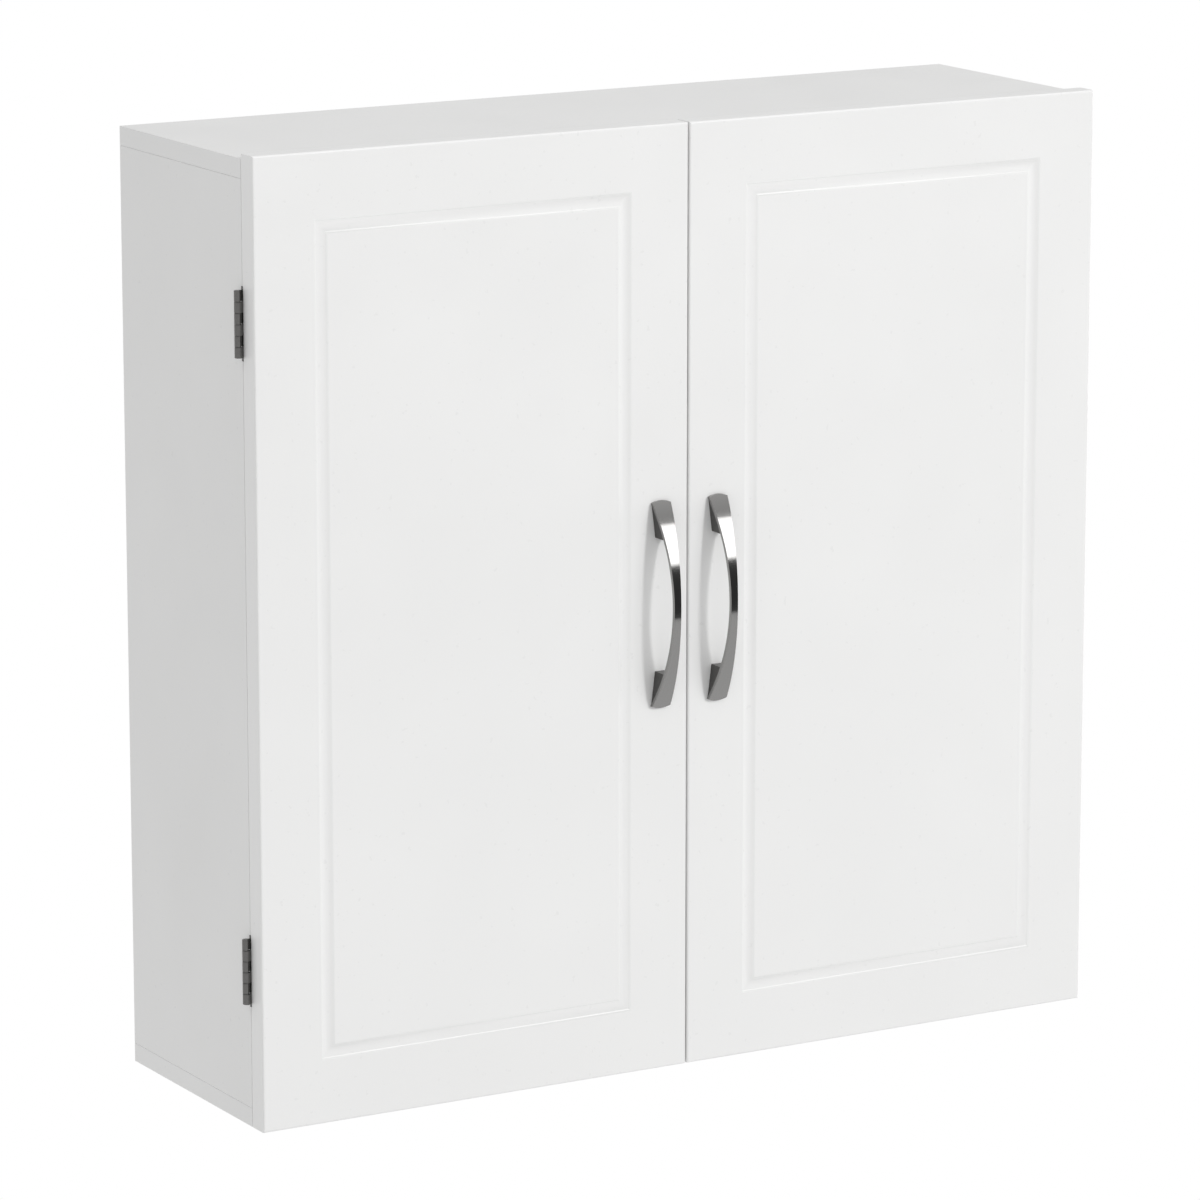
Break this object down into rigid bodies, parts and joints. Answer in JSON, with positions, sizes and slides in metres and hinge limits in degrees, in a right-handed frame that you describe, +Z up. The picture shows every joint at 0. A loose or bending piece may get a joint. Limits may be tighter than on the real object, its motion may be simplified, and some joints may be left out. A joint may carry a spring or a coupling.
{
  "type": "hanging wall cabinet",
  "caption": "White wall cabinet with side-hinged doors with routed panels, bow handles, knuckle hinges, magnetic catches, a shelf inside and a hanging rail at the back.",
  "frame": {"origin": "on the wall plane, midway between the centres of the two wall screw holes", "axes": "+X to the right as seen from the front, +Y into the wall, +Z up; the doors face -Y"},
  "size_m": [0.6106, 0.2025, 0.6],
  "materials": {
    "white_lacquer": "satin white lacquer on fibreboard",
    "hardboard": "thin hardboard, white on the inside and bare at the back",
    "bare_board": "bare fibreboard",
    "beech": "fluted beech",
    "white_plastic": "moulded matt white",
    "ferrite": "dark ferrite",
    "satin_nickel": "satin nickel plate",
    "dark_nickel": "nickel plated steel, slightly dark",
    "zinc_plate": "bright zinc plate"
  },
  "bodies": {
    "carcass": {"top_panel": "white_lacquer", "bottom_panel": "white_lacquer", "left_side_panel": "white_lacquer", "right_side_panel": "white_lacquer", "back_panel": "hardboard", "hanging_rail": "bare_board", "shelf": "white_lacquer", "shelf_pins": "zinc_plate", "cam_locks": "zinc_plate", "cam_bolts": "zinc_plate", "cam_caps": "white_plastic", "dowels": "beech", "left_catch_housing": "white_plastic", "left_catch_magnet": "ferrite", "left_catch_poles": "zinc_plate", "right_catch_housing": "white_plastic", "right_catch_magnet": "ferrite", "right_catch_poles": "zinc_plate", "catch_screws": "zinc_plate", "left_upper_hinge_frame_leaf": "dark_nickel", "left_upper_hinge_pin": "dark_nickel", "left_lower_hinge_frame_leaf": "dark_nickel", "left_lower_hinge_pin": "dark_nickel", "right_upper_hinge_frame_leaf": "dark_nickel", "right_upper_hinge_pin": "dark_nickel", "right_lower_hinge_frame_leaf": "dark_nickel", "right_lower_hinge_pin": "dark_nickel", "frame_hinge_screws": "dark_nickel"},
    "left_door": {"left_door": "white_lacquer", "left_handle": "satin_nickel", "left_handle_screws": "zinc_plate", "left_strike_plate": "zinc_plate", "left_strike_screw": "zinc_plate", "left_upper_hinge_door_leaf": "dark_nickel", "left_lower_hinge_door_leaf": "dark_nickel", "left_door_hinge_screws": "dark_nickel"},
    "right_door": {"right_door": "white_lacquer", "right_handle": "satin_nickel", "right_handle_screws": "zinc_plate", "right_strike_plate": "zinc_plate", "right_strike_screw": "zinc_plate", "right_upper_hinge_door_leaf": "dark_nickel", "right_lower_hinge_door_leaf": "dark_nickel", "right_door_hinge_screws": "dark_nickel"}
  },
  "joints": [
    {"name": "left_door_hinge", "type": "hinge", "parent": "carcass", "child": "left_door", "pos_m": [-0.3028, -0.16475, -0.2565], "axis": [0, 0, -1], "range_deg": [0, 180]},
    {"name": "right_door_hinge", "type": "hinge", "parent": "carcass", "child": "right_door", "pos_m": [0.3028, -0.16475, -0.2565], "axis": [0, 0, 1], "range_deg": [0, 180]}
  ]
}
